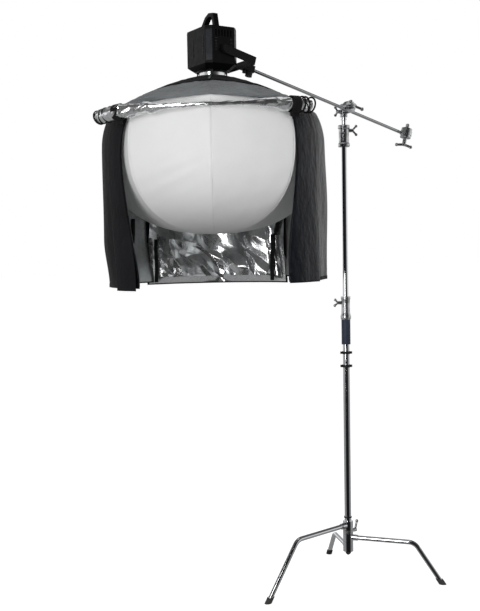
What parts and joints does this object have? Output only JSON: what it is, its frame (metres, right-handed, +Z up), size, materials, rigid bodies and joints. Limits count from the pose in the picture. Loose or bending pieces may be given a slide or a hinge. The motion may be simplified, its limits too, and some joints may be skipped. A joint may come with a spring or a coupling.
{
  "type": "studio softbox",
  "caption": "Round lantern softbox with hanging skirt panels under a lamp head, held out on a boom arm by a chrome stand with turning legs.",
  "frame": {"origin": "on the floor, in the middle of the whole set-up's outline; the stand's column is at (0.502, 0.053)", "axes": "+Z up, the boom's lamp end towards -X, the grip head's clamp handle towards -Y"},
  "size_m": [1.8373, 1.1009, 2.866],
  "materials": {
    "chrome_tube": "polished",
    "chrome_boom": "polished",
    "cast_metal": "tumbled chrome-plated casting",
    "bright_steel": "turned",
    "black_rubber": "matt",
    "black_plastic": "fine grain",
    "navy_sleeve": "satin",
    "black_housing": "black anodised, satin",
    "black_yoke": "black powder coat",
    "silver_ring": "clear anodised",
    "heat_sink": "extruded",
    "light_board": "board with phosphor disc",
    "screen": "gloss",
    "spring_rib": "spring steel",
    "white_cloth": "translucent white knit",
    "black_cloth": "black coated polyester",
    "grey_cloth": "grey woven polyester",
    "silver_cloth": "silver foil outside, black piping"
  },
  "bodies": {
    "base": {"base_column": "chrome_tube", "column_tip": "black_rubber", "rear_leg": "chrome_tube", "rear_foot": "black_rubber", "hub_spacer": "cast_metal", "lower_collar": "cast_metal", "marker_sleeve": "navy_sleeve", "column_bands": "black_plastic"},
    "left_leg": {"left_leg": "chrome_tube", "left_foot": "black_rubber"},
    "right_leg": {"right_leg": "chrome_tube", "right_foot": "black_rubber"},
    "leg_lock": {"leg_lock_handle": "cast_metal"},
    "lower_knob": {"lower_collar_knob": "cast_metal"},
    "riser_1": {"lower_riser": "chrome_tube", "mid_collar": "cast_metal"},
    "mid_knob": {"mid_collar_knob": "cast_metal"},
    "riser_2": {"upper_riser": "chrome_tube", "top_stud": "bright_steel"},
    "head": {"head_socket": "cast_metal", "head_bolt": "bright_steel"},
    "socket_knob": {"socket_knob": "cast_metal"},
    "discs": {"grip_discs": "cast_metal"},
    "head_handle": {"head_handle": "cast_metal"},
    "boom": {"boom_arm": "chrome_boom", "boom_end_cap": "black_plastic", "tail_seat": "cast_metal", "tail_bolt": "bright_steel"},
    "tail_discs": {"tail_discs": "cast_metal"},
    "tail_handle": {"tail_handle": "cast_metal"},
    "yoke": {"yoke_strap": "black_yoke", "yoke_receiver": "black_yoke"},
    "receiver_knob": {"receiver_knob": "black_plastic"},
    "receiver_plunger": {"receiver_plunger": "black_plastic"},
    "lamp": {"lamp_housing": "black_housing", "tilt_pins": "bright_steel", "rear_cover": "black_housing", "front_bezel": "black_housing", "carry_handle": "black_housing", "heat_sink": "heat_sink", "light_board": "light_board", "fan_frame": "black_plastic", "display_panel": "screen", "power_inlet": "black_plastic", "bayonet_ring": "black_housing"},
    "tilt_lever": {"tilt_lock_lever": "black_plastic"},
    "dial": {"control_dial": "black_plastic"},
    "fan": {"fan_rotor": "black_plastic"},
    "bayonet_lever": {"bayonet_lever": "black_plastic"},
    "softbox": {"speed_ring": "silver_ring", "ribs": "spring_rib", "bottom_hub": "black_plastic", "diffuser_ball": "white_cloth", "top_cap": "black_cloth", "shoulder_band": "grey_cloth", "skirt_back": "silver_cloth", "skirt_left": "black_cloth", "skirt_right": "black_cloth", "front_roll": "silver_cloth", "roll_straps": "black_cloth"}
  },
  "joints": [
    {"name": "left_leg_swing", "type": "hinge", "parent": "base", "child": "left_leg", "pos_m": [0.502, 0.053, 0.275], "axis": [0, 0, 1], "range_deg": [-120, 0]},
    {"name": "right_leg_swing", "type": "hinge", "parent": "base", "child": "right_leg", "pos_m": [0.502, 0.053, 0.208], "axis": [0, 0, 1], "range_deg": [0, 120]},
    {"name": "leg_lock_turn", "type": "hinge", "parent": "base", "child": "leg_lock", "pos_m": [0.542, 0.053, 0.24], "axis": [1, 0, 0], "range_deg": [-90, 90]},
    {"name": "lower_knob_turn", "type": "hinge", "parent": "base", "child": "lower_knob", "pos_m": [0.46736, 0.073, 1.47], "axis": [-0.866, 0.5, 0], "continuous": true},
    {"name": "lower_riser_slide", "type": "slide", "parent": "base", "child": "riser_1", "axis": [0, 0, 1], "range_m": [-0.76, 0.15]},
    {"name": "mid_knob_turn", "type": "hinge", "parent": "riser_1", "child": "mid_knob", "pos_m": [0.53664, 0.033, 2.372], "axis": [0.866, -0.5, 0], "continuous": true},
    {"name": "upper_riser_slide", "type": "slide", "parent": "riser_1", "child": "riser_2", "axis": [0, 0, 1], "range_m": [-0.026, 0.85]},
    {"name": "head_swivel", "type": "hinge", "parent": "riser_2", "child": "head", "pos_m": [0.502, 0.053, 2.47], "axis": [0, 0, 1], "continuous": true},
    {"name": "socket_knob_turn", "type": "hinge", "parent": "head", "child": "socket_knob", "pos_m": [0.472, 0.053, 2.468], "axis": [-1, 0, 0], "continuous": true},
    {"name": "boom_tilt", "type": "hinge", "parent": "head", "child": "discs", "pos_m": [0.502, 0.009, 2.488], "axis": [0, 1, 0], "range_deg": [-10, 22]},
    {"name": "head_handle_turn", "type": "hinge", "parent": "head", "child": "head_handle", "pos_m": [0.502, -0.037, 2.488], "axis": [0, -1, 0], "continuous": true},
    {"name": "boom_slide", "type": "slide", "parent": "discs", "child": "boom", "axis": [0.9659, 0, -0.2588], "range_m": [-0.25, 0.1]},
    {"name": "tail_disc_turn", "type": "hinge", "parent": "boom", "child": "tail_discs", "pos_m": [0.87598, -0.011, 2.36916], "axis": [0.2588, 0, 0.9659], "continuous": true},
    {"name": "tail_handle_turn", "type": "hinge", "parent": "boom", "child": "tail_handle", "pos_m": [0.86304, -0.011, 2.32086], "axis": [-0.2588, 0, -0.9659], "continuous": true},
    {"name": "yoke_roll", "type": "hinge", "parent": "boom", "child": "yoke", "pos_m": [-0.11119, 0.009, 2.63367], "axis": [-0.9659, 0, 0.2588], "range_deg": [-90, 90]},
    {"name": "receiver_knob_turn", "type": "hinge", "parent": "yoke", "child": "receiver_knob", "pos_m": [-0.11057, 0.009, 2.6128], "axis": [-0.2588, 0, -0.9659], "continuous": true},
    {"name": "receiver_plunger_pull", "type": "slide", "parent": "yoke", "child": "receiver_plunger", "axis": [-0.2588, 0, -0.9659], "range_m": [0, 0.004], "stiffness_N_per_m": 600, "springref_m": -0.002},
    {"name": "lamp_tilt", "type": "hinge", "parent": "yoke", "child": "lamp", "pos_m": [-0.318, 0.009, 2.68908], "axis": [0, 1, 0], "range_deg": [-8, 65]},
    {"name": "tilt_lever_turn", "type": "hinge", "parent": "lamp", "child": "tilt_lever", "pos_m": [-0.318, 0.139, 2.68908], "axis": [0, 1, 0], "range_deg": [0, 90]},
    {"name": "dial_turn", "type": "hinge", "parent": "lamp", "child": "dial", "pos_m": [-0.252, -0.021, 2.8], "axis": [0, 0, 1], "continuous": true},
    {"name": "fan_spin", "type": "hinge", "parent": "lamp", "child": "fan", "pos_m": [-0.318, 0.009, 2.742], "axis": [0, 0, 1], "continuous": true},
    {"name": "bayonet_release", "type": "slide", "parent": "lamp", "child": "bayonet_lever", "axis": [-0.5299, -0.848, 0], "range_m": [0, 0.004], "stiffness_N_per_m": 500, "springref_m": -0.002},
    {"name": "softbox_turn", "type": "hinge", "parent": "lamp", "child": "softbox", "pos_m": [-0.318, 0.009, 2.58], "axis": [0, 0, 1], "continuous": true}
  ]
}
